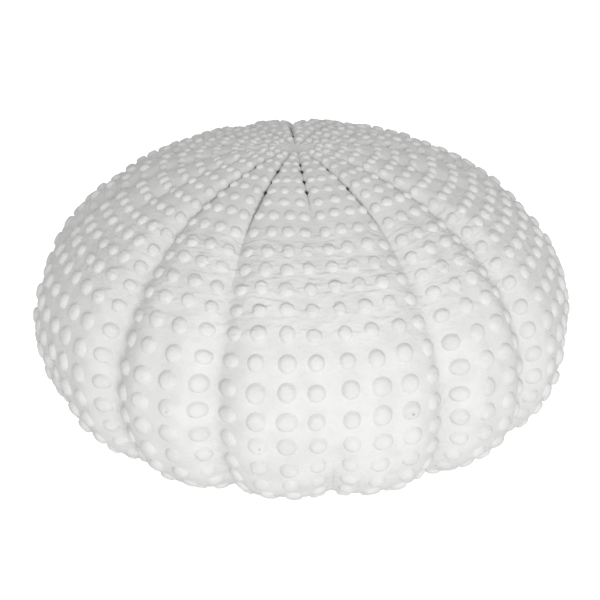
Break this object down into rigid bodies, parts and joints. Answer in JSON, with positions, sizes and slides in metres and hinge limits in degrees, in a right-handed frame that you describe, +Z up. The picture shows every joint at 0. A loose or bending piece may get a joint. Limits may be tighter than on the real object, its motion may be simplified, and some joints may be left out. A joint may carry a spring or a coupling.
{
  "type": "sea urchin shell",
  "caption": "Domed round sea urchin shell with furrowed lobes, rows of round knobs and a closed top, matte white, resting on a flat ring around its mouth.",
  "frame": {"origin": "middle of the plane that the shell rests on, under the top disc", "axes": "+Z up through the top disc, -Y out through the seam of a broad lobe, +X to the right as seen from there"},
  "size_m": [0.151, 0.151, 0.0783],
  "materials": {
    "cast_plaster": "matte, slightly grained cast plaster"
  },
  "bodies": {
    "root": {"sea_urchin_shell": "cast_plaster"}
  },
  "joints": []
}
